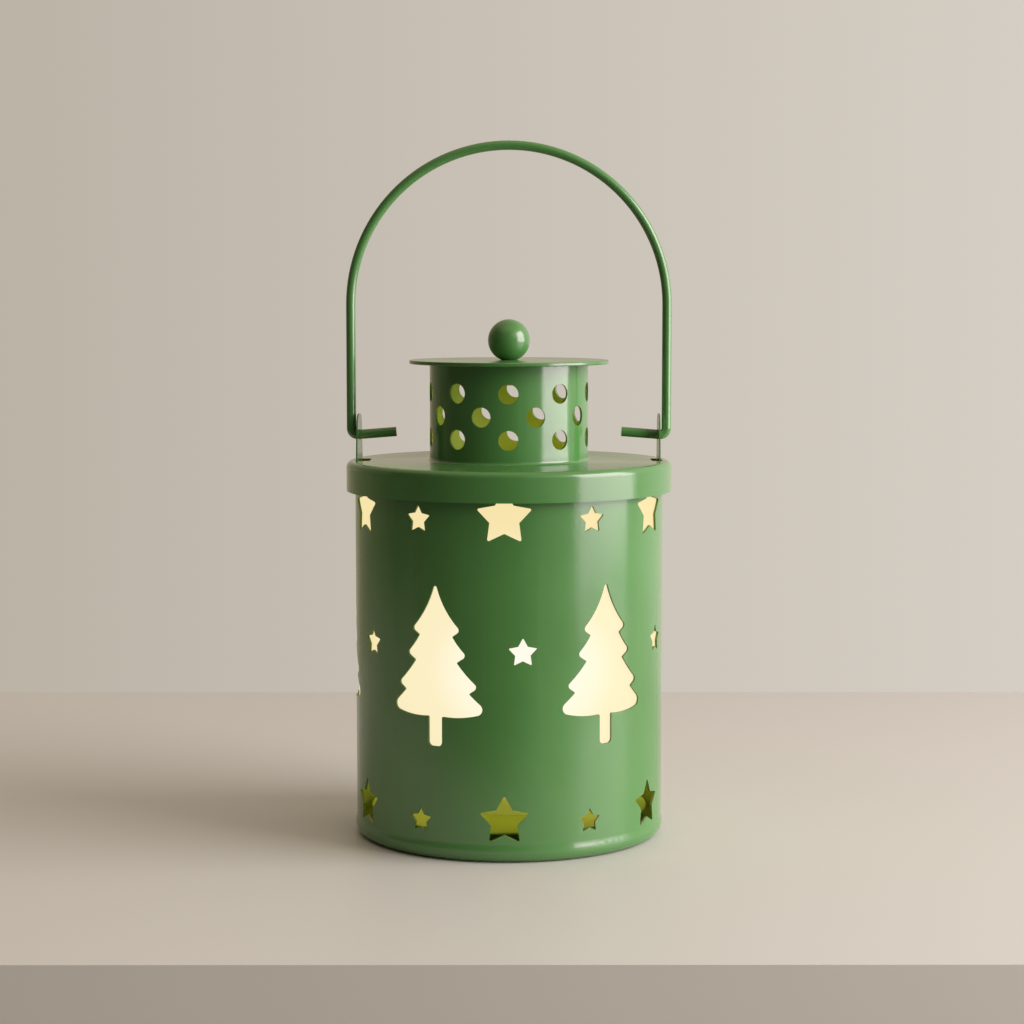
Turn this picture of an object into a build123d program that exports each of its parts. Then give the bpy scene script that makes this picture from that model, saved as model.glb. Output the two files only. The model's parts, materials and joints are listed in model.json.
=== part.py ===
from build123d import *
import os
from math import cos, degrees, hypot, pi, radians, sin, sqrt, tan

# Punched tin lantern: a rolled body with punched stars and trees over a translucent sleeve, a push-on lid
# with a vented chimney, a wire bail in two ears, and a battery candle in a cup on a raised floor.
# Millimetres, +Z up. The origin is the middle of the foot, on the surface that the lantern stands on.
# The front is -Y. Azimuths are degrees from the front towards +X. The bail swings about the X direction.

# Sheet metal and clearances
SHEET = 0.8  # painted tinplate
THIN_SHEET = 0.6  # candle cup
SEAT_GAP = 0.1  # between pieces that rest on or in each other
RUN_GAP = 0.3  # between pieces that pass each other
PUSH_GAP = 0.4  # between the lid's skirt and the body's bead

# Body
BODY_RADIUS = 55.35
BODY_HEIGHT = 134.1
FOOT_ROUND = 3.8  # outside radius of the turned-in foot
FOOT_PROUD = 0.4  # how far the foot swells out past the wall
FOOT_HEIGHT = 6.6  # where the swelling starts
FOOT_LIP = 8.5  # flat width of the lip that the lantern stands on
BEAD_PROUD = 1.95  # bead that the lid pushes over
BEAD_HALF_HEIGHT = 2.3
BEAD_DROP = 3.0  # from the rim down to the middle of the bead
SEAM_WIDTH = 5.0  # lap of the rolled sheet, at the back
SEAM_MARGIN = 2.0  # from the lap's ends to the foot's swelling and to the bead

# Punched pattern, laid out on the flat sheet before it is rolled, with rows that drifted a little
UPPER_PITCH = 63.1
TREE_PITCH = 62.3
LOWER_PITCH = 61.6
SEAM_BLANK = 30.0  # plain stretch left between the first and last big star
STAR_SHIFT = -1.6  # sheet distance from the front to the middle of the star rows
TREE_SHIFT = 4.8  # and to the middle of the tree row
STAR_POINTS = 5
STAR_WAIST = 0.53  # inner radius over outer radius
STAR_TIP_ROUND = 0.05  # tip radius over outer radius
UPPER_STAR = 10.1
UPPER_STAR_DROP = 15.0  # from the rim down to the star's middle
UPPER_SMALL_STAR = 5.1
UPPER_SMALL_DROP = 16.2
MIDDLE_STAR = 5.3
MIDDLE_STAR_RISE = 33.1  # above the trees' foot
LOWER_STAR = 9.0
LOWER_STAR_HEIGHT = 14.8
LOWER_SMALL_STAR = 4.5
LOWER_SMALL_HEIGHT = 13.5
PUNCH_INSIDE = 9.0  # reach of the punch on each side of the wall
PUNCH_OUTSIDE = 3.0

# Tree outline, as half widths and heights above the trunk's foot
TREE_FOOT_HEIGHT = 39.8
TRUNK_HALF_WIDTH = 2.6
TRUNK_HEIGHT = 10.4
TREE_TOP = 58.0
BOUGH_TIPS = ((19.45, 12.6), (15.8, 21.1), (11.8, 31.8), (9.6, 40.4))
BOUGH_NOTCHES = ((12.5, 18.8), (8.1, 29.4), (6.5, 38.3))
BOUGH_SAGS = (0.1, 0.3, 0.3, 1.5)  # hollow of each bough's upper side
BOTTOM_SAG = 1.0  # belly of the lowest bough's underside
BOTTOM_TIP_ROUND = 2.2
TIP_ROUND = 1.3
NOTCH_ROUND = 0.4
TOP_ROUND = 0.8
TRUNK_ROUND = 1.6

# Raised floor and candle cup
FLOOR_HEIGHT = 9.7
FLOOR_EDGE_ROUND = 0.3
FLOOR_GAP = 4.6  # between the floor's edge and the wall
FLOOR_RING_INSET = 0.75  # from the lip's edge to the ring that carries the floor on the lip
CUP_DEPTH = 5.0
CUP_GAP = 0.4
RIVET_RADIUS = 1.5
RIVET_HEAD_RADIUS = 3.0
RIVET_HEAD = 0.7
RIVET_HEAD_ROUND = 0.5

# Translucent sleeve behind the pattern
SLEEVE_WALL = 0.5
SLEEVE_GAP = 0.25
SLEEVE_FOOT = 30.0
SLEEVE_DROP = 5.2  # from the body's rim down to the sleeve's top
CLIP_COUNT = 3
CLIP_ANGLE = 8.0
CLIP_HEIGHT = 5.6
CLIP_LEDGE = 1.4
CLIP_FIRST_AZIMUTH = 4.0

# Lid
LID_DEPTH = 10.6
LID_ROUND = 2.3
VENT_LEDGE = 1.9  # sheet left between the chimney's bore and the lid's vent

# Chimney
CHIMNEY_RADIUS = 28.5
CHIMNEY_HEIGHT = 34.7
CHIMNEY_FOOT = 1.2  # flare where it meets the lid
HOLE_RADIUS = 3.5
HOLE_PITCH = 39.5  # degrees between holes of a row
HOLES_PER_STROKE = (5, 4, 5)  # bottom, middle and top row of the gang punch
STROKES = 2  # the punch comes down once at the front and once at the back
STROKE_TURN = -0.4  # degrees that the front stroke is off square
STROKE_PITCH = 174.9  # degrees from one stroke to the next
HOLE_ROW_RISE = 8.6
HOLE_ROW_PITCH = 8.1
TAB_COUNT = 4
TAB_WIDTH = 6.0
TAB_FOLD = 3.2
TAB_FIRST_AZIMUTH = 45.0

# Chimney cap, bridge and knob
CAP_RADIUS = 35.8
CAP_SHEET = 1.3
CAP_EDGE_ROUND = 0.3
BRIDGE_WIDTH = 10.0
BRIDGE_SHEET = 1.0
BRIDGE_DEPTH = 3.6  # height of its turned-up ends
KNOB_RADIUS = 7.55
KNOB_SEAT_RADIUS = 2.7  # flat on the ball
KNOB_BORE_DEPTH = 8.0
SCREW_RADIUS = 2.0
SCREW_GAP = 0.1
SCREW_HEAD_RADIUS = 3.6
SCREW_HEAD = 2.4
SCREW_HEAD_ROUND = 0.8
DRIVER_SLOT_WIDTH = 1.0
DRIVER_SLOT_DEPTH = 1.0
WASHER_RADIUS = 4.5
WASHER_SHEET = 0.8

# Ears, each an angle whose foot lies under the lid
EAR_SHEET = 0.5
EAR_INSET = 1.15  # outer face of the ear, in from the body's outside
EAR_BASE = 13.0
EAR_TOP = 9.0
EAR_ROUND = 4.2
EAR_RISE = 16.8  # above the lid
EAR_FOOT_LENGTH = 11.0
EAR_FOOT_WIDTH = 8.0
EAR_TURN_LEFT = 5.4  # degrees that each ear toes in towards the back
EAR_TURN_RIGHT = 0.9
SLOT_LENGTHS = {-1: 5.2, 1: 3.8}  # slot in the lid on the left and right, along X

# Bail
WIRE_RADIUS = 1.7
PIVOT_RISE = 9.2  # above the lid
LEG_GAP = 0.8  # between ear and leg
HOOK_REACH = 13.2  # inside the ear
HOOK_TILT = 4.5  # degrees that the hooks are bent past square
BEND_RADIUS = 2.2
LEG_LENGTH = 46.5  # pivot to the start of the arch
EYE_GAP = 0.25

# Battery candle
CANDLE_RADIUS = 21.0
CANDLE_HEIGHT = 36.0
CANDLE_WALL = 2.2
CANDLE_TOP_WALL = 1.8
CANDLE_RIM_ROUND = 1.6
POOL_DEPTH = 4.0
BASE_RECESS = 1.8  # underside of the base, above the cup
BASE_WALL = 1.6
BASE_RABBET = 0.6
FLAME_RADIUS = 6.0
FLAME_HEIGHT = 18.0
FLAME_BULGE_HEIGHT = 4.5
FLAME_SHOULDER_HEIGHT = 9.0
FLAME_NOSE = 1.0  # half width towards which the sides draw in
FLAME_GAP = 0.2
FLAME_FLANGE = 2.0
FLAME_FLANGE_WALL = 1.2
FLAME_BORE = 3.4
FLAME_BORE_HEIGHT = 10.0
LED_RADIUS = 2.5
LED_HEIGHT = 8.0
LED_FLANGE = 0.45
LED_FLANGE_WALL = 1.0
LED_LEG_RADIUS = 0.25
LED_LEG_SPREAD = 1.27
HOLDER_RADIUS = 4.2
HOLDER_BORE = 2.65
HOLDER_FOOT_RADIUS = 6.0
HOLDER_FOOT = 1.2
CELL_RADIUS = 10.0
CELL_HEIGHT = 3.2
CELL_CHAMFER = 0.4
CELL_GAP = 0.2
WELL_WALL = 2.4
DOOR_OVERLAP = 3.0
DOOR_WALL = 0.8
DOOR_SCREWS = 2
DOOR_SCREW_AZIMUTH = 45.0
CONTACT_SHEET = 0.3
CONTACT_WIDTH = 5.0
CONTACT_SPAN = 16.0
BOARD_RADIUS = 17.9
BOARD_WALL = 1.2
BOARD_HEIGHT = 5.1  # board's underside above the base
POST_RADIUS = 2.2
POST_OFFSET = 15.2
SMALL_SCREW_RADIUS = 0.9
SMALL_SCREW_DEPTH = 3.2
SMALL_HEAD_RADIUS = 1.5
SMALL_HEAD = 0.6
SWITCH_OFFSET = 15.0
SWITCH_TRAVEL = 2.4
SLIDER_LENGTH = 6.0
SLIDER_WIDTH = 3.6
SLIDER_WALL = 1.2
NUB_LENGTH = 3.0
NUB_WIDTH = 2.4
NUB_PROUD = 0.9
SWITCH_BODY_LENGTH = 10.0
SWITCH_BODY_WIDTH = 4.8

# Places that follow from the sizes above
body_bore = BODY_RADIUS - SHEET
foot_radius = BODY_RADIUS + FOOT_PROUD
foot_middle = foot_radius - FOOT_ROUND
lip_radius = foot_middle - FOOT_LIP
floor_ring_bore = lip_radius + FLOOR_RING_INSET
lid_underside = BODY_HEIGHT + SEAT_GAP
lid_top = lid_underside + SHEET
lid_radius = BODY_RADIUS + BEAD_PROUD + PUSH_GAP + SHEET
chimney_bore = CHIMNEY_RADIUS - SHEET
chimney_top = lid_top + CHIMNEY_HEIGHT
vent_radius = chimney_bore - VENT_LEDGE
cap_top = chimney_top + CAP_SHEET
knob_middle = cap_top + sqrt(KNOB_RADIUS**2 - KNOB_SEAT_RADIUS**2)
bridge_top = chimney_top - BRIDGE_DEPTH
ear_outside = BODY_RADIUS - EAR_INSET
ear_inside = ear_outside - EAR_SHEET
ear_flare = EAR_BASE / 2 * sin(radians(max(EAR_TURN_LEFT, EAR_TURN_RIGHT)))
pivot_height = lid_top + PIVOT_RISE
leg_x = ear_outside + LEG_GAP + WIRE_RADIUS
cup_floor = FLOOR_HEIGHT + THIN_SHEET
cup_bore = CANDLE_RADIUS + CUP_GAP
base_underside = cup_floor + BASE_RECESS
base_top = base_underside + BASE_WALL
candle_bore = CANDLE_RADIUS - CANDLE_WALL
base_radius = candle_bore + BASE_RABBET
candle_top = cup_floor + CANDLE_HEIGHT
pool_height = candle_top - POOL_DEPTH
flame_foot = pool_height - CANDLE_TOP_WALL - FLAME_FLANGE_WALL
well_bore = CELL_RADIUS + CELL_GAP
well_radius = well_bore + WELL_WALL
door_screw_offset = well_bore + WELL_WALL / 2
door_radius = well_bore + DOOR_OVERLAP
door_underside = base_underside - DOOR_WALL
cell_foot = base_underside + DOOR_WALL + CONTACT_SHEET
cell_top = cell_foot + CELL_HEIGHT
board_underside = base_top + BOARD_HEIGHT
board_top = board_underside + BOARD_WALL
holder_top = flame_foot - SEAT_GAP


def facing(azimuth):
    """Plane through the axis whose normal points outwards at this azimuth and whose Y is up."""
    turn = radians(azimuth)
    return Plane((0, 0, 0), x_dir=(cos(turn), sin(turn), 0), z_dir=(sin(turn), -cos(turn), 0))


def turned(*edges):
    """Solid of revolution about Z from a closed outline in radius and height."""
    outline = make_face([Plane.XZ * edge for edge in edges])
    return revolve(outline, Axis.Z)


def ring(outer, inner, low, high):
    """Upright tube between two heights."""
    disc = Circle(outer) - Circle(inner) if inner > 0 else Circle(outer)
    return extrude(Pos(0, 0, low) * disc, high - low)


def rounded(face, corners, radius):
    """Face with the corners at the given points rounded."""
    picked = [
        vertex
        for vertex in face.vertices()
        if any(hypot(vertex.X - x, vertex.Y - y) < radius / 20 for x, y in corners)
    ]
    return fillet(picked, radius)


def star(radius):
    """Star with one point up."""
    corners = []
    for step in range(2 * STAR_POINTS):
        reach = radius if step % 2 == 0 else radius * STAR_WAIST
        turn = radians(90 + 180 / STAR_POINTS * step)
        corners.append((reach * cos(turn), reach * sin(turn)))
    outline = Polygon(*corners, align=None)
    return rounded(outline, corners[::2], radius * STAR_TIP_ROUND)


def sagging(start, end, sag):
    """Arc from start to end that hollows to the left of that direction by the sag."""
    run = end[0] - start[0]
    rise = end[1] - start[1]
    length = hypot(run, rise)
    middle_x = (start[0] + end[0]) / 2 - rise * sag / length
    middle_y = (start[1] + end[1]) / 2 + run * sag / length
    return ThreePointArc(start, (middle_x, middle_y), end)


def tree():
    """Fir tree with four rows of boughs and a trunk, standing on its local X axis."""

    def across(half_width, height):
        return (BODY_RADIUS * sin(half_width / BODY_RADIUS), height)

    foot = across(TRUNK_HALF_WIDTH, 0)
    fork = across(TRUNK_HALF_WIDTH, TRUNK_HEIGHT)
    top = (0, TREE_TOP)
    tips = [across(*tip) for tip in BOUGH_TIPS]
    notches = [across(*notch) for notch in BOUGH_NOTCHES]
    edges = [Line((0, 0), foot), Line(foot, fork), sagging(fork, tips[0], -BOTTOM_SAG)]
    for tip, inner, sag in zip(tips, notches + [top], BOUGH_SAGS):
        edges.append(sagging(tip, inner, sag))
    for notch, tip in zip(notches, tips[1:]):
        edges.append(Line(notch, tip))
    half = make_face(edges + [Line(top, (0, 0))])
    outline = half + mirror(half, about=Plane.YZ)

    def both(points):
        return list(points) + [(-x, y) for x, y in points]

    outline = rounded(outline, [top], TOP_ROUND)
    outline = rounded(outline, both(tips[:1]), BOTTOM_TIP_ROUND)
    outline = rounded(outline, both(tips[1:]), TIP_ROUND)
    outline = rounded(outline, both(notches), NOTCH_ROUND)
    outline = rounded(outline, both([foot]), TRUNK_ROUND)
    return rounded(outline, both([fork]), NOTCH_ROUND)


def pattern_copies():
    """Number of big stars that fit round the sheet beside the plain stretch at the seam."""
    widest = max(UPPER_PITCH, TREE_PITCH, LOWER_PITCH)
    return int((2 * pi * BODY_RADIUS - SEAM_BLANK) / widest) + 1


def punches():
    """Punch solids for every star and tree, on the rolled wall."""
    copies = pattern_copies()
    first = -((copies - 1) // 2)
    rows = (
        (star(UPPER_STAR), BODY_HEIGHT - UPPER_STAR_DROP, STAR_SHIFT, UPPER_PITCH, 0),
        (star(UPPER_SMALL_STAR), BODY_HEIGHT - UPPER_SMALL_DROP, STAR_SHIFT, UPPER_PITCH, 0.5),
        (star(MIDDLE_STAR), TREE_FOOT_HEIGHT + MIDDLE_STAR_RISE, TREE_SHIFT, TREE_PITCH, 0),
        (tree(), TREE_FOOT_HEIGHT, TREE_SHIFT, TREE_PITCH, 0.5),
        (star(LOWER_STAR), LOWER_STAR_HEIGHT, STAR_SHIFT, LOWER_PITCH, 0),
        (star(LOWER_SMALL_STAR), LOWER_SMALL_HEIGHT, STAR_SHIFT, LOWER_PITCH, 0.5),
    )
    cutters = []
    for outline, height, shift, pitch, offset in rows:
        count = copies if offset == 0 else copies - 1
        for step in range(first, first + count):
            along = shift + pitch * (step + offset)
            wall = facing(degrees(along / BODY_RADIUS)).offset(BODY_RADIUS - PUNCH_INSIDE)
            cutters.append(extrude(wall * Pos(0, height) * outline, PUNCH_INSIDE + PUNCH_OUTSIDE))
    return cutters


def seam_azimuth():
    """Middle of the plain stretch, opposite the middle of the pattern."""
    copies = pattern_copies()
    middle_step = (copies - 1) / 2 - (copies - 1) // 2
    along = (STAR_SHIFT + TREE_SHIFT) / 2 + TREE_PITCH * middle_step
    return degrees(along / BODY_RADIUS) + 180


def sector(outer, inner, low, high, azimuth, angle):
    """Part of an upright tube, centred on an azimuth."""
    start = azimuth - 90 - angle / 2
    outline = [
        CenterArc((0, 0), outer, start, angle),
        CenterArc((0, 0), inner, start, angle),
    ]
    ends = [Line(outline[0] @ end, outline[1] @ end) for end in (0, 1)]
    return extrude(Pos(0, 0, low) * make_face(outline + ends), high - low)


def swelling(start, end):
    """Curve between two points of an outline that leaves both of them upright."""
    middle = (start[1] + end[1]) / 2
    return Bezier(start, (start[0], middle), (end[0], middle), end)


def body_shell():
    bead = BODY_HEIGHT - BEAD_DROP
    low = bead - BEAD_HALF_HEIGHT
    high = bead + BEAD_HALF_HEIGHT
    outer_bend = ((foot_middle, 0), (foot_radius, FOOT_ROUND))
    inner_bend = ((foot_middle, SHEET), (foot_radius - SHEET, FOOT_ROUND))
    wall = turned(
        Line((lip_radius, 0), outer_bend[0]),
        RadiusArc(outer_bend[0], outer_bend[1], -FOOT_ROUND),
        swelling(outer_bend[1], (BODY_RADIUS, FOOT_HEIGHT)),
        Line((BODY_RADIUS, FOOT_HEIGHT), (BODY_RADIUS, low)),
        ThreePointArc((BODY_RADIUS, low), (BODY_RADIUS + BEAD_PROUD, bead), (BODY_RADIUS, high)),
        Line((BODY_RADIUS, high), (BODY_RADIUS, BODY_HEIGHT)),
        Line((BODY_RADIUS, BODY_HEIGHT), (body_bore, BODY_HEIGHT)),
        Line((body_bore, BODY_HEIGHT), (body_bore, high)),
        ThreePointArc((body_bore, high), (body_bore + BEAD_PROUD, bead), (body_bore, low)),
        Line((body_bore, low), (body_bore, FOOT_HEIGHT)),
        swelling((body_bore, FOOT_HEIGHT), inner_bend[1]),
        RadiusArc(inner_bend[1], inner_bend[0], FOOT_ROUND - SHEET),
        Line(inner_bend[0], (lip_radius, SHEET)),
        Line((lip_radius, SHEET), (lip_radius, 0)),
    )
    lap = sector(
        BODY_RADIUS + SHEET,
        BODY_RADIUS - SHEET / 2,
        FOOT_HEIGHT + SEAM_MARGIN,
        low - SEAM_MARGIN,
        seam_azimuth(),
        degrees(SEAM_WIDTH / BODY_RADIUS),
    )
    notch_depth = EAR_SHEET + RUN_GAP
    notches = Pos(0, 0, BODY_HEIGHT) * Box(2 * lid_radius, EAR_BASE + 2 * RUN_GAP, 2 * notch_depth)
    return wall + lap - punches() - notches


def floor_plate():
    plate = ring(body_bore - FLOOR_GAP, RIVET_RADIUS + SEAT_GAP, FLOOR_HEIGHT - SHEET, FLOOR_HEIGHT)
    rim = plate.edges().filter_by(GeomType.CIRCLE).sort_by(SortBy.RADIUS)[-2:]
    return fillet(rim, FLOOR_EDGE_ROUND)


def floor_ring():
    return ring(floor_ring_bore + SHEET, floor_ring_bore, SHEET, FLOOR_HEIGHT - SHEET)


def candle_cup():
    radius = cup_bore + THIN_SHEET
    rim = cup_floor + CUP_DEPTH
    dish = ring(radius, 0, FLOOR_HEIGHT, rim) - ring(cup_bore, 0, cup_floor, rim)
    return dish - ring(RIVET_RADIUS + SEAT_GAP, 0, FLOOR_HEIGHT, cup_floor)


def cup_rivet():
    tail = FLOOR_HEIGHT - SHEET
    shank = ring(RIVET_RADIUS, 0, tail - RIVET_HEAD, cup_floor + RIVET_HEAD)
    head = ring(RIVET_HEAD_RADIUS, 0, cup_floor, cup_floor + RIVET_HEAD)
    head = fillet(head.edges().group_by(Axis.Z)[-1], RIVET_HEAD_ROUND)
    return shank + head + ring(RIVET_HEAD_RADIUS, 0, tail - RIVET_HEAD, tail)


def diffuser_sleeve():
    radius = body_bore - SLEEVE_GAP
    return ring(radius, radius - SLEEVE_WALL, SLEEVE_FOOT, BODY_HEIGHT - SLEEVE_DROP)


def sleeve_clips():
    radius = body_bore - SEAT_GAP
    bore = radius - SHEET
    clips = []
    for step in range(CLIP_COUNT):
        azimuth = CLIP_FIRST_AZIMUTH + 360 / CLIP_COUNT * step
        leg = sector(radius, bore, SLEEVE_FOOT - CLIP_HEIGHT, SLEEVE_FOOT, azimuth, CLIP_ANGLE)
        ledge = sector(radius, bore - CLIP_LEDGE, SLEEVE_FOOT - SHEET, SLEEVE_FOOT, azimuth, CLIP_ANGLE)
        clips.append(leg + ledge)
    return Compound(children=clips)


def chimney_tabs(gap):
    """Tongues of the chimney's wall through the lid, with the gap added on every side."""
    angle = degrees((TAB_WIDTH + 2 * gap) / CHIMNEY_RADIUS)
    tabs = []
    for step in range(TAB_COUNT):
        azimuth = TAB_FIRST_AZIMUTH + 360 / TAB_COUNT * step
        low = lid_underside - SHEET
        tabs.append(sector(CHIMNEY_RADIUS + gap, chimney_bore - gap, low, lid_top + SHEET, azimuth, angle))
    return tabs


def lid_cover():
    skirt_bore = lid_radius - SHEET
    shoulder = lid_radius - LID_ROUND
    bend = lid_top - LID_ROUND
    skirt_foot = lid_top - LID_DEPTH
    cover = turned(
        Line((vent_radius, lid_top), (shoulder, lid_top)),
        RadiusArc((shoulder, lid_top), (lid_radius, bend), LID_ROUND),
        Line((lid_radius, bend), (lid_radius, skirt_foot)),
        Line((lid_radius, skirt_foot), (skirt_bore, skirt_foot)),
        Line((skirt_bore, skirt_foot), (skirt_bore, bend)),
        RadiusArc((skirt_bore, bend), (shoulder, lid_underside), SHEET - LID_ROUND),
        Line((shoulder, lid_underside), (vent_radius, lid_underside)),
        Line((vent_radius, lid_underside), (vent_radius, lid_top)),
    )
    slots = []
    for side, length in SLOT_LENGTHS.items():
        middle = ear_outside + ear_flare + RUN_GAP - length / 2
        slots.append(Pos(side * middle, 0, lid_top - SHEET / 2) * Box(length, EAR_BASE + 2 * RUN_GAP, 4 * SHEET))
    return cover - slots - chimney_tabs(SEAT_GAP)


def chimney():
    foot = CHIMNEY_RADIUS + CHIMNEY_FOOT
    tube = turned(
        Line((chimney_bore, lid_top), (foot, lid_top)),
        RadiusArc((foot, lid_top), (CHIMNEY_RADIUS, lid_top + CHIMNEY_FOOT), CHIMNEY_FOOT),
        Line((CHIMNEY_RADIUS, lid_top + CHIMNEY_FOOT), (CHIMNEY_RADIUS, chimney_top)),
        Line((CHIMNEY_RADIUS, chimney_top), (chimney_bore, chimney_top)),
        Line((chimney_bore, chimney_top), (chimney_bore, lid_top)),
    )
    holes = []
    for row, count in enumerate(HOLES_PER_STROKE):
        height = lid_top + HOLE_ROW_RISE + HOLE_ROW_PITCH * row
        for stroke in range(STROKES):
            middle = STROKE_TURN + STROKE_PITCH * stroke
            for step in range(count):
                azimuth = middle + HOLE_PITCH * (step - (count - 1) / 2)
                punch = facing(azimuth) * Pos(0, height) * Circle(HOLE_RADIUS)
                holes.append(extrude(punch, CHIMNEY_RADIUS + PUNCH_OUTSIDE))
    folds = []
    for step in range(TAB_COUNT):
        azimuth = TAB_FIRST_AZIMUTH + 360 / TAB_COUNT * step
        angle = degrees(TAB_WIDTH / CHIMNEY_RADIUS)
        low = lid_underside - SHEET
        folds.append(sector(CHIMNEY_RADIUS, CHIMNEY_RADIUS - TAB_FOLD, low, lid_underside, azimuth, angle))
    return tube - holes + chimney_tabs(0) + folds


def chimney_cap():
    plate = ring(CAP_RADIUS, SCREW_RADIUS + SCREW_GAP, chimney_top, cap_top)
    rims = plate.edges().filter_by(GeomType.CIRCLE).filter_by(lambda edge: edge.radius > CAP_RADIUS / 2)
    return fillet(rims, CAP_EDGE_ROUND)


def cap_bridge():
    reach = chimney_bore - SEAT_GAP
    low = bridge_top - BRIDGE_SHEET
    blank = ring(reach, 0, low, chimney_top - SEAT_GAP)
    hollow = ring(reach - BRIDGE_SHEET, 0, bridge_top, chimney_top)
    strap = Pos(0, 0, bridge_top) * Box(2 * CHIMNEY_RADIUS, BRIDGE_WIDTH, 2 * CHIMNEY_HEIGHT)
    return (blank - hollow - ring(SCREW_RADIUS + SCREW_GAP, 0, low, chimney_top)) & strap


def knob():
    ball = Pos(0, 0, knob_middle) * Sphere(KNOB_RADIUS)
    ball = split(ball, Plane.XY.offset(cap_top), keep=Keep.TOP)
    return ball - ring(SCREW_RADIUS + SCREW_GAP, 0, cap_top, cap_top + KNOB_BORE_DEPTH)


def knob_screw():
    under = bridge_top - BRIDGE_SHEET - WASHER_SHEET
    shank = ring(SCREW_RADIUS, 0, under - SCREW_HEAD, cap_top + KNOB_BORE_DEPTH - RUN_GAP)
    head = ring(SCREW_HEAD_RADIUS, 0, under - SCREW_HEAD, under)
    head = fillet(head.edges().group_by(Axis.Z)[0], SCREW_HEAD_ROUND)
    slot = Box(2 * SCREW_HEAD_RADIUS, DRIVER_SLOT_WIDTH, 2 * DRIVER_SLOT_DEPTH)
    return shank + head - Pos(0, 0, under - SCREW_HEAD) * slot


def screw_washer():
    top = bridge_top - BRIDGE_SHEET
    return ring(WASHER_RADIUS, SCREW_RADIUS + SCREW_GAP, top - WASHER_SHEET, top)


def ear(side):
    """Ear on one side, -1 for left and 1 for right, with its foot turned in under the lid."""
    low = lid_underside - EAR_SHEET
    top = lid_top + EAR_RISE
    corners = [(-EAR_BASE / 2, low), (EAR_BASE / 2, low), (EAR_BASE / 2, lid_top), (EAR_TOP / 2, top)]
    corners += [(-EAR_TOP / 2, top), (-EAR_BASE / 2, lid_top)]
    outline = rounded(Polygon(*corners, align=None), corners[3:5], EAR_ROUND)
    outline -= Pos(0, pivot_height) * Circle(WIRE_RADIUS + EYE_GAP)
    plate = extrude(Plane.YZ.offset(ear_inside) * outline, EAR_SHEET)
    foot_middle = (ear_outside - EAR_FOOT_LENGTH / 2, 0, lid_underside - EAR_SHEET / 2)
    plate += Pos(*foot_middle) * Box(EAR_FOOT_LENGTH, EAR_FOOT_WIDTH, EAR_SHEET)
    upright = Axis(((ear_inside + ear_outside) / 2, 0, 0), (0, 0, 1))
    plate = plate.rotate(upright, EAR_TURN_RIGHT if side > 0 else EAR_TURN_LEFT)
    return plate if side > 0 else mirror(plate, about=Plane.YZ)


def bail_handle():
    eye = (ear_inside + ear_outside) / 2
    slope = tan(radians(HOOK_TILT))
    corner = (leg_x, 0, pivot_height - (leg_x - eye) * slope)
    tip = (ear_inside - HOOK_REACH, 0, pivot_height + (eye - ear_inside + HOOK_REACH) * slope)
    arch_foot = pivot_height + LEG_LENGTH
    right = FilletPolyline(tip, corner, (leg_x, 0, arch_foot), radius=BEND_RADIUS)
    left = mirror(right, about=Plane.YZ)
    arch = ThreePointArc((leg_x, 0, arch_foot), (0, 0, arch_foot + leg_x), (-leg_x, 0, arch_foot))
    path = Wire(right.edges() + arch.edges() + left.edges())
    section = Plane(path @ 0, z_dir=path % 0) * Circle(WIRE_RADIUS)
    return sweep(section, path)


def candle_shell():
    shoulder = CANDLE_RADIUS - CANDLE_RIM_ROUND
    lip = shoulder - CANDLE_RIM_ROUND
    under = pool_height - CANDLE_TOP_WALL
    hole = FLAME_RADIUS + FLAME_GAP
    return turned(
        Line((base_radius + SEAT_GAP, cup_floor), (CANDLE_RADIUS, cup_floor)),
        Line((CANDLE_RADIUS, cup_floor), (CANDLE_RADIUS, candle_top - CANDLE_RIM_ROUND)),
        ThreePointArc(
            (CANDLE_RADIUS, candle_top - CANDLE_RIM_ROUND),
            (shoulder, candle_top),
            (lip, candle_top - CANDLE_RIM_ROUND),
        ),
        Line((lip, candle_top - CANDLE_RIM_ROUND), (lip - CANDLE_RIM_ROUND, pool_height)),
        Line((lip - CANDLE_RIM_ROUND, pool_height), (hole, pool_height)),
        Line((hole, pool_height), (hole, under)),
        Line((hole, under), (candle_bore, under)),
        Line((candle_bore, under), (candle_bore, base_top)),
        Line((candle_bore, base_top), (base_radius + SEAT_GAP, base_top)),
        Line((base_radius + SEAT_GAP, base_top), (base_radius + SEAT_GAP, cup_floor)),
    )


def flame_tip():
    flange = FLAME_RADIUS + FLAME_FLANGE
    flange_top = flame_foot + FLAME_FLANGE_WALL
    bulge = (FLAME_RADIUS, pool_height + FLAME_BULGE_HEIGHT)
    top = (0, pool_height + FLAME_HEIGHT)
    bore_top = flame_foot + FLAME_BORE_HEIGHT
    return turned(
        Line((FLAME_BORE, flame_foot), (flange, flame_foot)),
        Line((flange, flame_foot), (flange, flange_top)),
        Line((flange, flange_top), (FLAME_RADIUS, flange_top)),
        Line((FLAME_RADIUS, flange_top), bulge),
        Bezier(bulge, (FLAME_RADIUS, pool_height + FLAME_SHOULDER_HEIGHT), (FLAME_NOSE, top[1]), top),
        Line(top, (0, bore_top)),
        Line((0, bore_top), (FLAME_BORE, bore_top - FLAME_BORE)),
        Line((FLAME_BORE, bore_top - FLAME_BORE), (FLAME_BORE, flame_foot)),
    )


def led():
    flange_top = holder_top + LED_FLANGE_WALL
    dome = flange_top + LED_HEIGHT - LED_RADIUS
    lamp = ring(LED_RADIUS + LED_FLANGE, 0, holder_top, flange_top)
    lamp += ring(LED_RADIUS, 0, flange_top, dome)
    lamp += Pos(0, 0, dome) * Sphere(LED_RADIUS)
    leg = ring(LED_LEG_RADIUS, 0, board_top, holder_top + LED_FLANGE_WALL / 2)
    return lamp + [Pos(side * LED_LEG_SPREAD, 0, 0) * leg for side in (-1, 1)]


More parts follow.
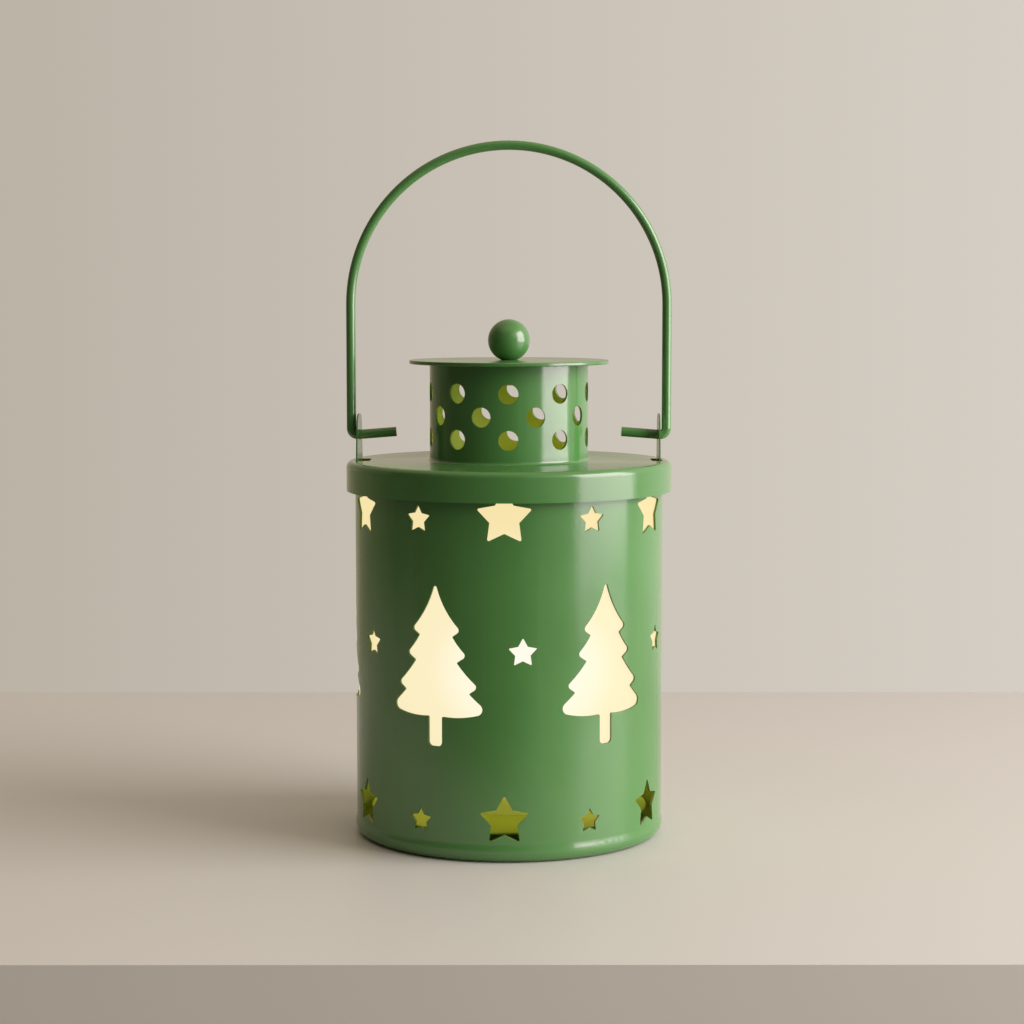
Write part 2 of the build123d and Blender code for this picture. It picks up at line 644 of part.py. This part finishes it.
def led_holder():
    foot = ring(HOLDER_FOOT_RADIUS, HOLDER_BORE, board_top, board_top + HOLDER_FOOT)
    return foot + ring(HOLDER_RADIUS, HOLDER_BORE, board_top, holder_top)


def board_screw_places():
    return [Pos(0, side * POST_OFFSET, 0) for side in (-1, 1)]


def door_screw_places():
    turns = [DOOR_SCREW_AZIMUTH + 360 / DOOR_SCREWS * step for step in range(DOOR_SCREWS)]
    return [Rot(0, 0, turn) * Pos(door_screw_offset, 0, 0) for turn in turns]


def circuit_board():
    board = ring(BOARD_RADIUS, 0, board_underside, board_top)
    hole = ring(SMALL_SCREW_RADIUS + SEAT_GAP, 0, board_underside, board_top)
    return board - [place * hole for place in board_screw_places()]


def board_screws():
    shank = ring(SMALL_SCREW_RADIUS, 0, board_underside - SMALL_SCREW_DEPTH, board_top + SMALL_HEAD)
    head = ring(SMALL_HEAD_RADIUS, 0, board_top, board_top + SMALL_HEAD)
    return Compound(children=[place * (shank + head) for place in board_screw_places()])


def candle_base():
    plate = ring(base_radius, well_bore, base_underside, base_top)
    plate += ring(well_radius, well_bore, base_underside, cell_top)
    post = ring(POST_RADIUS, 0, base_underside, board_underside)
    plate += [place * post for place in board_screw_places()]
    tapped = SMALL_SCREW_RADIUS + SEAT_GAP
    post_hole = ring(tapped, 0, board_underside - SMALL_SCREW_DEPTH - SEAT_GAP, board_underside)
    plate -= [place * post_hole for place in board_screw_places()]
    door_hole = ring(tapped, 0, base_underside, base_underside + SMALL_SCREW_DEPTH + SEAT_GAP)
    plate -= [place * door_hole for place in door_screw_places()]
    slot = Box(NUB_WIDTH + 2 * RUN_GAP, NUB_LENGTH + SWITCH_TRAVEL + 2 * RUN_GAP, 4 * BASE_WALL)
    return plate - Pos(SWITCH_OFFSET, 0, base_underside) * slot


def battery_door():
    plate = ring(door_radius, 0, door_underside, base_underside)
    plate += ring(well_bore - SEAT_GAP, 0, door_underside, base_underside + DOOR_WALL)
    hole = ring(SMALL_SCREW_RADIUS + SEAT_GAP, 0, door_underside, base_underside)
    return plate - [place * hole for place in door_screw_places()]


def door_screws():
    shank = ring(SMALL_SCREW_RADIUS, 0, door_underside - SMALL_HEAD, base_underside + SMALL_SCREW_DEPTH)
    head = ring(SMALL_HEAD_RADIUS, 0, door_underside - SMALL_HEAD, door_underside)
    return Compound(children=[place * (shank + head) for place in door_screw_places()])


def battery():
    can = ring(CELL_RADIUS, 0, cell_foot, cell_top)
    return chamfer(can.edges().group_by(Axis.Z)[0], CELL_CHAMFER)


def battery_contacts():
    lower = Pos(0, 0, cell_foot - CONTACT_SHEET / 2) * Box(CONTACT_SPAN, CONTACT_WIDTH, CONTACT_SHEET)
    upper = Pos(0, 0, cell_top + CONTACT_SHEET / 2) * Box(CONTACT_SPAN, CONTACT_WIDTH, CONTACT_SHEET)
    rise = board_underside - cell_top
    for side in (-1, 1):
        leg_middle = side * (CONTACT_SPAN - CONTACT_SHEET) / 2
        upper += Pos(leg_middle, 0, cell_top + rise / 2) * Box(CONTACT_SHEET, CONTACT_WIDTH, rise)
    return Compound(children=[lower, upper])


def switch_slider():
    """Slider at its off end, towards -Y."""
    plate = Pos(0, 0, base_top + SLIDER_WALL / 2) * Box(SLIDER_WIDTH, SLIDER_LENGTH, SLIDER_WALL)
    height = BASE_WALL + NUB_PROUD
    plate += Pos(0, 0, base_top - height / 2) * Box(NUB_WIDTH, NUB_LENGTH, height)
    return Pos(SWITCH_OFFSET, -SWITCH_TRAVEL / 2, 0) * plate


def switch_body():
    low = base_top + SLIDER_WALL + SEAT_GAP
    height = board_underside - low
    return Pos(SWITCH_OFFSET, 0, low + height / 2) * Box(SWITCH_BODY_WIDTH, SWITCH_BODY_LENGTH, height)


def main():
    pieces = {
        "body_shell": body_shell(),
        "floor_plate": floor_plate(),
        "floor_ring": floor_ring(),
        "candle_cup": candle_cup(),
        "cup_rivet": cup_rivet(),
        "diffuser_sleeve": diffuser_sleeve(),
        "sleeve_clips": sleeve_clips(),
        "lid_cover": lid_cover(),
        "chimney": chimney(),
        "chimney_cap": chimney_cap(),
        "cap_bridge": cap_bridge(),
        "knob": knob(),
        "knob_screw": knob_screw(),
        "screw_washer": screw_washer(),
        "ear_left": ear(-1),
        "ear_right": ear(1),
        "bail_handle": bail_handle(),
        "candle_shell": candle_shell(),
        "flame_tip": flame_tip(),
        "led": led(),
        "led_holder": led_holder(),
        "circuit_board": circuit_board(),
        "board_screws": board_screws(),
        "candle_base": candle_base(),
        "battery": battery(),
        "battery_contacts": battery_contacts(),
        "battery_door": battery_door(),
        "door_screws": door_screws(),
        "switch_body": switch_body(),
        "switch_slider": switch_slider(),
    }
    os.makedirs("parts", exist_ok=True)
    for name, piece in pieces.items():
        export_step(piece, f"parts/{name}.step")


if __name__ == "__main__":
    main()
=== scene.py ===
import json
import math

import bpy
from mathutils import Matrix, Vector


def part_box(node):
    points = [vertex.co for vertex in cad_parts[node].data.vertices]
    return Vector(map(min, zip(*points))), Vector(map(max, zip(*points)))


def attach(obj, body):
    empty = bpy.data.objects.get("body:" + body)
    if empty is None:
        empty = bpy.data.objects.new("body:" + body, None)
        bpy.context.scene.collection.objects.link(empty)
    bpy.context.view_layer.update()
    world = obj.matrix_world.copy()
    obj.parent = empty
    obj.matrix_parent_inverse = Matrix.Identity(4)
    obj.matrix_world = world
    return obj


# Camera, in metres and degrees
LENS_MM = 84.58
SENSOR_MM = 36.0
CAMERA_DISTANCE = 0.8658
CAMERA_HEIGHT = 0.1972
CAMERA_PITCH = 5.351
CAMERA_YAW = 0.073
CAMERA_CLIP = 0.01

# Floor, a pale slab that ends in straight lines behind the lantern and in front of it
FLOOR_BACK = 0.296
FLOOR_FRONT = 0.1787
FLOOR_HALF_WIDTH = 0.6
FLOOR_DEPTH = 0.06
FLOOR_COLOUR = (0.65, 0.625, 0.60)
# Sides of the slab: lighter and warmer than its top, painted light in place of the light that the dim front
# of the room doesn't give.
FLOOR_SIDES_PAINTED_LIGHT = (0.88, 0.81, 0.73)
FLOOR_ROUGHNESS = 0.5
FLOOR_MOTTLE_SCALE = 3.0
FLOOR_SHADE = 0.97

# Backdrop, from the left to the right of the picture, and the room that lights the lantern
BACKDROP_HALF_SPAN = 0.21
BACKDROP_LEFT = (0.500, 0.448, 0.381)
BACKDROP_RIGHT = (0.665, 0.617, 0.552)
ROOM_TOP = (0.54, 0.44, 0.33)
ROOM_TOP_STARTS = (0.6, 0.9)
ROOM_FRONT = (0.06, 0.05, 0.04)
ROOM_FRONT_RIGHT = (0.40, 0.38, 0.35)
ROOM_FRONT_STOPS = (0.55, 0.85)
ROOM_FILL = (1.5, 1.45, 1.36)
ROOM_FILL_STARTS = (0.2, 0.35)
ROOM_BACK_STARTS = (0.0, 0.4)
ROOM_LEFT = (0.18, 0.17, 0.09)
ROOM_BACK_LEFT = (0.48, 0.42, 0.28)
ROOM_BACK = (0.64, 0.55, 0.46)
ROOM_RIGHT = (0.95, 0.89, 0.82)
ROOM_BACK_STOPS = (0.0, 0.36, 0.55, 0.85)

# Soft box, which stands upright on the right
BOX_AZIMUTH = 71.9
BOX_DISTANCE = 1.0
BOX_FOOT = 0.035
BOX_HEIGHT = 0.965
BOX_WIDTH = 0.865
BOX_POWER = 16.6
BOX_COLOUR = (1.0, 0.97, 0.95)

# Candle light in the chimney, and where the sleeve glows most
CHIMNEY_GLOW_COLOUR = (1.0, 0.66, 0.20)
CHIMNEY_GLOW_POWER = 0.0018
CHIMNEY_GLOW_RADIUS = 0.018
GLOW_MIDDLE = (0.004, -0.035, 0.066)
GLOW_NEAR = 0.018
GLOW_FAR = 0.080

# Colours, as linear values
ENAMEL_GREEN = (0.088, 0.250, 0.064)
ENAMEL_DEEP = (0.073, 0.220, 0.053)
ENAMEL_GLINT = (1.0, 0.87, 0.96)
# Cut edges of the wall and chimney: matte paint, its olive-yellow tone painted warm candle light.
EDGE_PAINT_AND_WARM_LIGHT = (0.105, 0.21, 0.012)
# Inside of the wall and chimney, and the whole floor plate: matte olive-yellow paint, its yellow and
# lightness painted warm candle light on the green.
INSIDE_PAINT_AND_WARM_LIGHT = (0.25, 0.42, 0.04)
# Whole candle cup: pale green, painted candle light on the green enamel.
CUP_PAINTED_LIGHT = (0.60, 0.80, 0.40)
# Under the lid, inside its skirt and on the cut edges of its slots: near black, painted shade.
UNDER_LID_PAINTED_SHADE = (0.025, 0.040, 0.010)

# Enamel: gloss, relief in metres, and the limits that tell the inside faces of a hollow piece
ENAMEL_IOR = 1.75
ENAMEL_GLOSS = (0.17, 0.22)
ENAMEL_GLOSS_SCALE = 60.0
ENAMEL_MOTTLE_SCALE = 22.0
ROLLED_GRAIN = 0.7
ROLLED_GRAIN_TURN = 0.25
WAVE_SCALE = 28.0
WAVE_STRETCH = (1.0, 1.0, 0.35)
WAVE_DEPTH = 0.0006
WAVE_STRENGTH = 0.25
PEEL_SCALE = 900.0
PEEL_DETAIL = 1.0
PEEL_DEPTH = 0.00004
PEEL_STRENGTH = 0.35
WIRE_PEEL_STRENGTH = 0.06
COAT_ROUGHNESS = 0.6
COAT_MOTTLE_SCALE = 60.0
COAT_SHADE = 0.9
TURNED = 0.5
EVERY_FACE = 2.0

# Frosted film, with its glow on the outer side from the hottest place, and on the inner side upwards
FILM_OUTSIDE = (0.03, 0.018, 0.005)
FILM_INSIDE = (0.84, 0.74, 0.55)
FILM_GLOW_INSIDE = (1.0, 0.74, 0.24)
FILM_GLOW_LOW = (0.08, 0.06, 0.02)
FILM_GLOW_TOP = (0.012, 0.009, 0.003)
FILM_GLOW_STOPS = (0.0, 0.45, 0.66, 0.84)
FILM_STRENGTH = 1.4
FILM_HALF_WALL = 0.00025
FILM_ROUGHNESS = 0.6
FILM_SPECULAR = 0.2
FILM_MOTTLE_SCALE = 300.0
FILM_SHADE = 0.93
FILM_GLOW_OUTSIDE = (
    (0.00, (1.00, 0.97, 0.86)),
    (0.15, (1.00, 0.93, 0.70)),
    (0.25, (0.97, 0.86, 0.56)),
    (0.42, (0.95, 0.84, 0.53)),
    (0.60, (0.92, 0.77, 0.41)),
    (1.00, (0.92, 0.77, 0.40)),
)

# Flame, with its glow upwards
FLAME_DARK = (0.90, 0.72, 0.36)
FLAME_LIGHT = (0.95, 0.78, 0.42)
FLAME_MOTTLE_SCALE = 200.0
FLAME_ROUGHNESS = 0.35
FLAME_STRENGTH = 1.6
FLAME_GLOW = ((0.2, (1.0, 0.60, 0.18)), (0.5, (1.0, 0.86, 0.52)), (1.0, (1.0, 0.68, 0.26)))

# Other finishes: dark and light tone, scale of the mottle, roughness, depth of the grain, and 1 for metal
PLAIN_FINISHES = {
    "plated_steel": ((0.42, 0.42, 0.40), (0.60, 0.60, 0.57), 220.0, 0.32, 0.00001, 1.0),
    # Darker plating for the screw and washer under the cap: a dull plating with painted shade.
    "dull_plating_painted_shade": ((0.14, 0.14, 0.13), (0.20, 0.20, 0.19), 220.0, 0.55, 0.00001, 1.0),
    "ivory_plastic": ((0.72, 0.62, 0.42), (0.80, 0.71, 0.52), 90.0, 0.45, 0.00003),
    "led_resin": ((0.85, 0.74, 0.45), (0.92, 0.82, 0.55), 200.0, 0.12, 0.00001),
    "white_plastic": ((0.70, 0.70, 0.66), (0.78, 0.78, 0.74), 150.0, 0.50, 0.00002),
    "board_laminate": ((0.02, 0.10, 0.04), (0.03, 0.15, 0.06), 400.0, 0.35, 0.00002),
    "cell_steel": ((0.55, 0.55, 0.54), (0.68, 0.68, 0.66), 260.0, 0.25, 0.00001, 1.0),
    "contact_metal": ((0.55, 0.52, 0.46), (0.66, 0.63, 0.56), 260.0, 0.28, 0.00001, 1.0),
    "black_plastic": ((0.02, 0.02, 0.02), (0.03, 0.03, 0.03), 250.0, 0.50, 0.00002),
}
GLOSS_FINER = 3.0  # than the mottle
GLOSS_SPREAD = (0.85, 1.15)
GRAIN_FINER = 8.0  # than the mottle
GRAIN_STRENGTH = 0.5

# Noise: its detail, and the part of its range that carries most of it
MOTTLE_DETAIL = 3.0
NOISE_LOW = 0.3
NOISE_HIGH = 0.7


class Nodes:
    """Short way to write a node tree."""

    def __init__(self, tree):
        self.tree = tree

    def add(self, kind, **settings):
        node = self.tree.nodes.new(kind)
        for key, value in settings.items():
            setattr(node, key, value)
        return node

    def link(self, output, target):
        self.tree.links.new(output, target)

    def math(self, operation, first, second):
        node = self.add("ShaderNodeMath", operation=operation)
        for socket, value in zip(node.inputs, (first, second)):
            if isinstance(value, bpy.types.NodeSocket):
                self.link(value, socket)
            else:
                socket.default_value = value
        return node.outputs["Value"]

    def vector(self, operation, first, second=None):
        node = self.add("ShaderNodeVectorMath", operation=operation)
        self.link(first, node.inputs[0])
        if isinstance(second, bpy.types.NodeSocket):
            self.link(second, node.inputs[1])
        elif second is not None:
            node.inputs[1].default_value = second
        number = operation in ("DISTANCE", "LENGTH", "DOT_PRODUCT")
        return node.outputs["Value" if number else "Vector"]

    def split(self, vector):
        node = self.add("ShaderNodeSeparateXYZ")
        self.link(vector, node.inputs["Vector"])
        return node.outputs

    def position(self):
        return self.add("ShaderNodeTexCoord").outputs["Object"]

    def from_axis(self):
        """Vector from the lantern's axis to the point, level with it."""
        return self.vector("MULTIPLY", self.position(), (1.0, 1.0, 0.0))

    def noise(self, scale, detail=2.0, stretch=None):
        place = self.position()
        if stretch is not None:
            place = self.vector("MULTIPLY", place, stretch)
        node = self.add("ShaderNodeTexNoise")
        node.inputs["Scale"].default_value = scale
        node.inputs["Detail"].default_value = detail
        self.link(place, node.inputs["Vector"])
        return node.outputs["Fac"]

    def ramp(self, value, stops):
        """Colour ramp, from pairs of a place and a colour."""
        stops = list(stops)
        node = self.add("ShaderNodeValToRGB")
        elements = node.color_ramp.elements
        while len(elements) < len(stops):
            elements.new(0.5)
        for element, (place, colour) in zip(elements, stops):
            element.position = place
            element.color = (*colour, 1.0)
        self.link(value, node.inputs["Fac"])
        return node.outputs["Color"]

    def mottle(self, scale, dark, light):
        return self.ramp(self.noise(scale, MOTTLE_DETAIL), [(NOISE_LOW, dark), (NOISE_HIGH, light)])

    def speckle(self, scale, colour, share):
        """Mottle between a share of the colour and the colour itself."""
        return self.mottle(scale, tuple(share * part for part in colour), colour)

    def mix(self, factor, first, second):
        node = self.add("ShaderNodeMix", data_type="RGBA")
        self.link(factor, node.inputs["Factor"])
        sockets = [socket for socket in node.inputs if socket.type == "RGBA"]
        for socket, colour in zip(sockets, (first, second)):
            if isinstance(colour, bpy.types.NodeSocket):
                self.link(colour, socket)
            else:
                socket.default_value = (*colour, 1.0)
        return next(socket for socket in node.outputs if socket.type == "RGBA")

    def remap(self, value, low, high, to_low, to_high):
        node = self.add("ShaderNodeMapRange")
        limits = {"From Min": low, "From Max": high, "To Min": to_low, "To Max": to_high}
        for name, number in limits.items():
            node.inputs[name].default_value = number
        self.link(value, node.inputs["Value"])
        return node.outputs["Result"]

    def bump(self, height, distance, strength, under=None):
        node = self.add("ShaderNodeBump")
        node.inputs["Strength"].default_value = strength
        node.inputs["Distance"].default_value = distance
        self.link(height, node.inputs["Height"])
        if under is not None:
            self.link(under, node.inputs["Normal"])
        return node.outputs["Normal"]


class Finish(Nodes):
    """Material with one Principled shader."""

    def __init__(self, name):
        self.material = bpy.data.materials.new(name)
        self.material.use_nodes = True
        super().__init__(self.material.node_tree)
        self.shader = self.tree.nodes["Principled BSDF"]

    def set(self, **values):
        for name, value in values.items():
            socket = self.shader.inputs[name.replace("_", " ")]
            if isinstance(value, bpy.types.NodeSocket):
                self.link(value, socket)
            else:
                socket.default_value = value
        return self.material


def green_enamel(name, inside_below=None, up_below=EVERY_FACE, inside_paint_light_shade=INSIDE_PAINT_AND_WARM_LIGHT, turned_paint_light_shade=EDGE_PAINT_AND_WARM_LIGHT,
                 peel_strength=PEEL_STRENGTH):
    """Sprayed gloss enamel with faint orange peel.

    A hollow piece has matte tones on its inside and on its cut edges: the faces that look outwards by
    less than inside_below and up by less than up_below. Their tones paint in light and shade: warm
    candle light on the green inside and cut edges, shade under the lid, and candle light over the whole cup.
    """
    m = Finish(name)
    tone = m.mottle(ENAMEL_MOTTLE_SCALE, ENAMEL_DEEP, ENAMEL_GREEN)
    gloss = m.remap(m.noise(ENAMEL_GLOSS_SCALE, MOTTLE_DETAIL), NOISE_LOW, NOISE_HIGH, *ENAMEL_GLOSS)
    if inside_below is not None:
        spoke = m.vector("NORMALIZE", m.from_axis())
        normal = m.add("ShaderNodeNewGeometry").outputs["True Normal"]
        outward = m.vector("DOT_PRODUCT", normal, spoke)
        turned_down = m.math("LESS_THAN", m.split(normal)["Z"], up_below)
        hidden = m.math("MULTIPLY", m.math("LESS_THAN", outward, inside_below), turned_down)
        within = m.math("LESS_THAN", outward, -inside_below)
        tone = m.mix(hidden, tone, m.speckle(COAT_MOTTLE_SCALE, turned_paint_light_shade, COAT_SHADE))
        tone = m.mix(within, tone, m.speckle(COAT_MOTTLE_SCALE, inside_paint_light_shade, COAT_SHADE))
        gloss = m.math("MAXIMUM", gloss, m.math("MULTIPLY", hidden, COAT_ROUGHNESS))
        m.set(Anisotropic=ROLLED_GRAIN, Anisotropic_Rotation=ROLLED_GRAIN_TURN)
    waves = m.bump(m.noise(WAVE_SCALE, stretch=WAVE_STRETCH), WAVE_DEPTH, WAVE_STRENGTH)
    peel = m.bump(m.noise(PEEL_SCALE, PEEL_DETAIL), PEEL_DEPTH, peel_strength, under=waves)
    m.set(IOR=ENAMEL_IOR, Specular_Tint=(*ENAMEL_GLINT, 1.0))
    return m.set(Base_Color=tone, Roughness=gloss, Normal=peel)


def frosted_film():
    """Film that glows cream on its outer side, most in front of the flame, and yellower inside."""
    m = Finish("frosted_film")
    low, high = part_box("diffuser_sleeve")
    outside = m.math("GREATER_THAN", m.vector("LENGTH", m.from_axis()), high.x - FILM_HALF_WALL)
    inner = m.speckle(FILM_MOTTLE_SCALE, FILM_INSIDE, FILM_SHADE)
    outer = m.speckle(FILM_MOTTLE_SCALE, FILM_OUTSIDE, FILM_SHADE)
    m.set(Base_Color=m.mix(outside, inner, outer), Roughness=FILM_ROUGHNESS, Specular_IOR_Level=FILM_SPECULAR)
    rise = m.remap(m.split(m.position())["Z"], low.z, high.z, 0.0, 1.0)
    steps = (FILM_GLOW_LOW, FILM_GLOW_INSIDE, FILM_GLOW_INSIDE, FILM_GLOW_TOP)
    inner_glow = m.ramp(rise, zip(FILM_GLOW_STOPS, steps))
    distance = m.vector("DISTANCE", m.position(), GLOW_MIDDLE)
    away = m.remap(distance, GLOW_NEAR, GLOW_FAR, 0.0, 1.0)
    stops = [(place, tuple(part / FILM_STRENGTH for part in tone)) for place, tone in FILM_GLOW_OUTSIDE]
    glow = m.mix(outside, inner_glow, m.ramp(away, stops))
    return m.set(Emission_Color=glow, Emission_Strength=FILM_STRENGTH)


def flame_plastic():
    """Moulded flame that is brightest at its middle."""
    m = Finish("flame_plastic")
    low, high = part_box("flame_tip")
    rise = m.remap(m.split(m.position())["Z"], low.z, high.z, 0.0, 1.0)
    m.set(Base_Color=m.mottle(FLAME_MOTTLE_SCALE, FLAME_DARK, FLAME_LIGHT), Roughness=FLAME_ROUGHNESS)
    return m.set(Emission_Color=m.ramp(rise, FLAME_GLOW), Emission_Strength=FLAME_STRENGTH)


def plain_finish(name, dark, light, scale, roughness, grain, metallic=0.0):
    """Moulded or plated finish with mottled colour and a fine grain."""
    m = Finish(name)
    tone = m.mottle(scale, dark, light)
    smooth, rough = (roughness * share for share in GLOSS_SPREAD)
    gloss = m.remap(m.noise(scale * GLOSS_FINER), NOISE_LOW, NOISE_HIGH, smooth, rough)
    relief = m.bump(m.noise(scale * GRAIN_FINER), grain, GRAIN_STRENGTH)
    return m.set(Base_Color=tone, Roughness=gloss, Normal=relief, Metallic=metallic)


def finishes():
    """One material for each slot of the record, and a duller, darker plating for the screw under the cap: its
    darkness is painted shade.
    """
    table = {"green_enamel": green_enamel("green_enamel")}
    table["frosted_film"] = frosted_film()
    table["flame_plastic"] = flame_plastic()
    for name, values in PLAIN_FINISHES.items():
        table[name] = plain_finish(name, *values)
    return table


def dress(frame):
    """Give every CAD node its finish."""
    table = finishes()
    for part in frame["record"]["subparts"]:
        data = frame["nodes"][part["node"]].data
        data.materials.clear()
        data.materials.append(table[part["material_slot"]])
    own = {
        "bail_handle": green_enamel("wire_enamel", peel_strength=WIRE_PEEL_STRENGTH),
        # The wall and the chimney are olive-yellow inside and on their cut edges: painted warm candle light
        # on the green paint.
        "body_shell": green_enamel("wall_enamel", TURNED),
        "chimney": green_enamel("chimney_enamel", TURNED, TURNED),
        # The lid is near black underneath and on the cut edges of its slots: painted shade.
        "lid_cover": green_enamel("cover_enamel", TURNED, TURNED, inside_paint_light_shade=UNDER_LID_PAINTED_SHADE, turned_paint_light_shade=UNDER_LID_PAINTED_SHADE),
        # The whole floor plate is light olive-yellow: matte paint with painted warm candle light.
        "floor_plate": green_enamel("floor_enamel", EVERY_FACE, turned_paint_light_shade=INSIDE_PAINT_AND_WARM_LIGHT),
        # The whole candle cup is pale green: painted candle light.
        "candle_cup": green_enamel("cup_enamel", EVERY_FACE, turned_paint_light_shade=CUP_PAINTED_LIGHT),
    }
    # The screw and washer under the cap take the darker plating: painted shade.
    screwed = {"knob_screw": table["dull_plating_painted_shade"], "screw_washer": table["dull_plating_painted_shade"]}
    for name, finish in (own | screwed).items():
        frame["nodes"][name].data.materials[0] = finish


def build_floor():
    """Slab with its top at the foot of the lantern. Its first face is the top."""
    ends = (-FLOOR_FRONT, FLOOR_BACK)
    corners = [(side * FLOOR_HALF_WIDTH, y, z) for z in (-FLOOR_DEPTH, 0.0) for y in ends for side in (-1, 1)]
    faces = [(4, 5, 7, 6), (0, 1, 5, 4), (1, 3, 7, 5), (3, 2, 6, 7), (2, 0, 4, 6), (2, 3, 1, 0)]
    mesh = bpy.data.meshes.new("floor")
    mesh.from_pydata(corners, [], faces)
    # The sides are a lighter, warmer copy of the top: painted light.
    for name, colour in (("floor_top", FLOOR_COLOUR), ("floor_sides_painted_lighter", FLOOR_SIDES_PAINTED_LIGHT)):
        m = Finish(name)
        tone = m.speckle(FLOOR_MOTTLE_SCALE, colour, FLOOR_SHADE)
        mesh.materials.append(m.set(Base_Color=tone, Roughness=FLOOR_ROUGHNESS))
    for face in mesh.polygons[1:]:
        face.material_index = 1
    floor = bpy.data.objects.new("floor", mesh)
    bpy.context.scene.collection.objects.link(floor)


def light_room():
    """Pale backdrop for the camera, and a room that is dim in front of the lantern."""
    world = bpy.data.worlds.new("room")
    world.use_nodes = True
    bpy.context.scene.world = world
    n = Nodes(world.node_tree)
    direction = n.split(n.add("ShaderNodeTexCoord").outputs["Generated"])
    across = n.remap(direction["X"], -BACKDROP_HALF_SPAN, BACKDROP_HALF_SPAN, 0.0, 1.0)
    backdrop = n.ramp(across, [(0.0, BACKDROP_LEFT), (1.0, BACKDROP_RIGHT)])
    side = n.remap(direction["X"], -1.0, 1.0, 0.0, 1.0)
    back = n.ramp(side, zip(ROOM_BACK_STOPS, (ROOM_LEFT, ROOM_BACK_LEFT, ROOM_BACK, ROOM_RIGHT)))
    front = n.ramp(side, zip(ROOM_FRONT_STOPS, (ROOM_FRONT, ROOM_FRONT_RIGHT)))
    fill = n.ramp(side, zip(ROOM_FRONT_STOPS, (ROOM_FRONT, ROOM_FILL)))
    front = n.mix(n.remap(direction["Z"], *ROOM_FILL_STARTS, 0.0, 1.0), front, fill)
    room = n.mix(n.remap(direction["Y"], *ROOM_BACK_STARTS, 0.0, 1.0), front, back)
    room = n.mix(n.remap(direction["Z"], *ROOM_TOP_STARTS, 0.0, 1.0), room, ROOM_TOP)
    seen = n.add("ShaderNodeLightPath").outputs["Is Camera Ray"]
    n.link(n.mix(seen, room, backdrop), world.node_tree.nodes["Background"].inputs["Color"])


def add_lamp(name, kind, power, colour, location, **settings):
    lamp = bpy.data.lights.new(name, kind)
    lamp.energy = power
    lamp.color = colour
    for key, value in settings.items():
        setattr(lamp, key, value)
    obj = bpy.data.objects.new(name, lamp)
    obj.location = location
    obj.visible_camera = False
    bpy.context.scene.collection.objects.link(obj)
    return obj


def light_studio():
    """Upright soft box that faces the lantern."""
    turn = math.radians(BOX_AZIMUTH)
    height = BOX_FOOT + BOX_HEIGHT / 2
    place = (BOX_DISTANCE * math.sin(turn), -BOX_DISTANCE * math.cos(turn), height)
    shape = {"shape": "RECTANGLE", "size": BOX_WIDTH, "size_y": BOX_HEIGHT}
    box = add_lamp("soft_box", "AREA", BOX_POWER, BOX_COLOUR, place, **shape)
    box.rotation_euler = (math.radians(90), 0, turn)


def light_candle():
    """Warm light that rises into the chimney and lifts with the lid."""
    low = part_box("chimney")[0]
    shape = {"shape": "DISK", "size": 2 * CHIMNEY_GLOW_RADIUS}
    place = (0, 0, low.z)
    chimney_glow = add_lamp("chimney_glow", "AREA", CHIMNEY_GLOW_POWER, CHIMNEY_GLOW_COLOUR, place, **shape)
    chimney_glow.rotation_euler = (math.pi, 0, 0)
    chimney_glow.visible_glossy = False
    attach(chimney_glow, "lid")


def place_camera():
    camera = bpy.data.cameras.new("camera")
    camera.lens = LENS_MM
    camera.sensor_width = SENSOR_MM
    camera.sensor_fit = "HORIZONTAL"
    camera.clip_start = CAMERA_CLIP
    obj = bpy.data.objects.new("camera", camera)
    obj.location = (0, -CAMERA_DISTANCE, CAMERA_HEIGHT)
    obj.rotation_euler = (math.radians(90 - CAMERA_PITCH), 0, math.radians(-CAMERA_YAW))
    bpy.context.scene.collection.objects.link(obj)
    bpy.context.scene.camera = obj


with open("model.json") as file:
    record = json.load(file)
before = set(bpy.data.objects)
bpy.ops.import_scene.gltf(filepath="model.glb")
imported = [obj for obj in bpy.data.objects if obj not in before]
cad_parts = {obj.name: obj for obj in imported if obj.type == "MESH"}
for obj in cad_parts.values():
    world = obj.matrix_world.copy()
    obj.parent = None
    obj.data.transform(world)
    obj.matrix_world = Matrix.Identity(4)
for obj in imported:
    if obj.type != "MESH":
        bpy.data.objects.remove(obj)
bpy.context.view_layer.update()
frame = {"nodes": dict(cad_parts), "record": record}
bpy.context.scene.view_settings.view_transform = "Standard"
place_camera()
build_floor()
dress(frame)
light_room()
light_studio()
light_candle()
